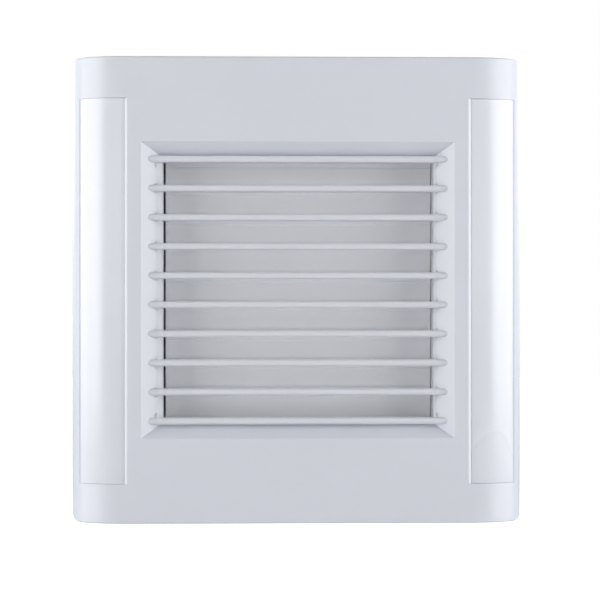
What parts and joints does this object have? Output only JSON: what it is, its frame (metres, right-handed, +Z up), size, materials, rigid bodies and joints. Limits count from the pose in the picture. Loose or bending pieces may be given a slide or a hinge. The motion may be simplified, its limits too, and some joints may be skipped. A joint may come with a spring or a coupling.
{
  "type": "window exhaust fan",
  "caption": "Square window exhaust fan: louvred front with side trims, thermal shutter, motor and impeller in a duct collar, and an outdoor rain louvre clamping the pane.",
  "frame": {"origin": "centre of the round hole in the window pane, on the pane's indoor face", "axes": "+X right and +Z up as seen from the room; +Y out through the window, so the room is on the -Y side"},
  "size_m": [0.206, 0.11, 0.2131],
  "materials": {
    "white_plastic": "satin white moulding",
    "trim_plastic": "gloss white moulding",
    "grille_plastic": "satin white moulding",
    "shutter_plastic": "matt pale grey moulding",
    "housing_plastic": "satin white moulding",
    "impeller_plastic": "matt grey moulding",
    "natural_plastic": "natural nylon",
    "zinc_steel": "zinc plated",
    "lamination_steel": "stamped laminations",
    "copper_winding": "enamelled copper",
    "bronze": "sintered bronze",
    "seal_rubber": "closed cell rubber",
    "lead_sheath": "flexible sheath"
  },
  "bodies": {
    "body": {"front_cover": "white_plastic", "left_trim": "trim_plastic", "right_trim": "trim_plastic", "louvre_grille": "grille_plastic", "shutter_frame": "shutter_plastic", "actuator_body": "natural_plastic", "return_spring": "zinc_steel", "housing": "housing_plastic", "inner_gasket": "seal_rubber", "outer_gasket": "seal_rubber", "outdoor_frame": "housing_plastic", "outdoor_louvre": "housing_plastic", "duct_collar": "housing_plastic", "motor_end_cap": "housing_plastic", "stator_core": "lamination_steel", "front_bearing": "bronze", "rear_bearing": "bronze", "terminal_block": "natural_plastic", "terminal_cover": "housing_plastic", "cable_grommet": "seal_rubber", "motor_lead": "lead_sheath", "actuator_lead": "lead_sheath", "coil_1": "copper_winding", "coil_2": "copper_winding", "coil_3": "copper_winding", "coil_4": "copper_winding", "clamp_screw_1": "zinc_steel", "clamp_screw_2": "zinc_steel", "clamp_screw_3": "zinc_steel", "clamp_screw_4": "zinc_steel", "cover_screw_1": "zinc_steel", "cover_screw_2": "zinc_steel", "cover_screw_3": "zinc_steel", "cover_screw_4": "zinc_steel", "collar_screw_1": "zinc_steel", "collar_screw_2": "zinc_steel", "collar_screw_3": "zinc_steel", "shutter_screw_1": "zinc_steel", "shutter_screw_2": "zinc_steel", "shutter_screw_3": "zinc_steel", "shutter_screw_4": "zinc_steel", "motor_screw_1": "zinc_steel", "motor_screw_2": "zinc_steel"},
    "blade_1": {"shutter_blade_1": "shutter_plastic"},
    "blade_2": {"shutter_blade_2": "shutter_plastic"},
    "blade_3": {"shutter_blade_3": "shutter_plastic"},
    "blade_4": {"shutter_blade_4": "shutter_plastic"},
    "blade_5": {"shutter_blade_5": "shutter_plastic"},
    "blade_6": {"shutter_blade_6": "shutter_plastic"},
    "blade_7": {"shutter_blade_7": "shutter_plastic"},
    "blade_8": {"shutter_blade_8": "shutter_plastic"},
    "blade_9": {"shutter_blade_9": "shutter_plastic"},
    "spindle": {"impeller": "impeller_plastic", "impeller_nut": "impeller_plastic", "shaft": "zinc_steel", "rotor": "lamination_steel"},
    "tie_rod": {"tie_rod": "natural_plastic"},
    "plunger": {"actuator_plunger": "zinc_steel"}
  },
  "joints": [
    {"name": "impeller_spin", "type": "hinge", "parent": "body", "child": "spindle", "pos_m": [0, 0.007, 0], "axis": [0, 1, 0], "continuous": true},
    {"name": "blade_1_hinge", "type": "hinge", "parent": "body", "child": "blade_1", "pos_m": [0, -0.026, 0.05949], "axis": [1, 0, 0], "range_deg": [0, 75], "stiffness_Nm_per_rad": 0.004, "springref_deg": -17.19},
    {"name": "blade_2_hinge", "type": "hinge", "parent": "body", "child": "blade_2", "pos_m": [0, -0.026, 0.04627], "axis": [1, 0, 0], "range_deg": [0, 75]},
    {"name": "blade_3_hinge", "type": "hinge", "parent": "body", "child": "blade_3", "pos_m": [0, -0.026, 0.03305], "axis": [1, 0, 0], "range_deg": [0, 75]},
    {"name": "blade_4_hinge", "type": "hinge", "parent": "body", "child": "blade_4", "pos_m": [0, -0.026, 0.01983], "axis": [1, 0, 0], "range_deg": [0, 75]},
    {"name": "blade_5_hinge", "type": "hinge", "parent": "body", "child": "blade_5", "pos_m": [0, -0.026, 0.00661], "axis": [1, 0, 0], "range_deg": [0, 75]},
    {"name": "blade_6_hinge", "type": "hinge", "parent": "body", "child": "blade_6", "pos_m": [0, -0.026, -0.00661], "axis": [1, 0, 0], "range_deg": [0, 75]},
    {"name": "blade_7_hinge", "type": "hinge", "parent": "body", "child": "blade_7", "pos_m": [0, -0.026, -0.01983], "axis": [1, 0, 0], "range_deg": [0, 75]},
    {"name": "blade_8_hinge", "type": "hinge", "parent": "body", "child": "blade_8", "pos_m": [0, -0.026, -0.03305], "axis": [1, 0, 0], "range_deg": [0, 75]},
    {"name": "blade_9_hinge", "type": "hinge", "parent": "body", "child": "blade_9", "pos_m": [0, -0.026, -0.04627], "axis": [1, 0, 0], "range_deg": [0, 75]},
    {"name": "tie_rod_pivot", "type": "hinge", "parent": "blade_1", "child": "tie_rod", "pos_m": [-0.0696, -0.02124, 0.05584], "axis": [1, 0, 0], "range_deg": [-75, 0]},
    {"name": "plunger_slide", "type": "slide", "parent": "body", "child": "plunger", "axis": [0, 0, 1], "range_m": [0, 0.0074], "deforming": ["return_spring"]}
  ],
  "couplings": [
    {"joint": "blade_2_hinge", "follows": "blade_1_hinge", "ratio": 1},
    {"joint": "blade_3_hinge", "follows": "blade_1_hinge", "ratio": 1},
    {"joint": "blade_4_hinge", "follows": "blade_1_hinge", "ratio": 1},
    {"joint": "blade_5_hinge", "follows": "blade_1_hinge", "ratio": 1},
    {"joint": "blade_6_hinge", "follows": "blade_1_hinge", "ratio": 1},
    {"joint": "blade_7_hinge", "follows": "blade_1_hinge", "ratio": 1},
    {"joint": "blade_8_hinge", "follows": "blade_1_hinge", "ratio": 1},
    {"joint": "blade_9_hinge", "follows": "blade_1_hinge", "ratio": 1},
    {"joint": "tie_rod_pivot", "follows": "blade_1_hinge", "ratio": -1},
    {"joint": "plunger_slide", "follows": "blade_1_hinge", "m_per_rad": 0.00558}
  ]
}
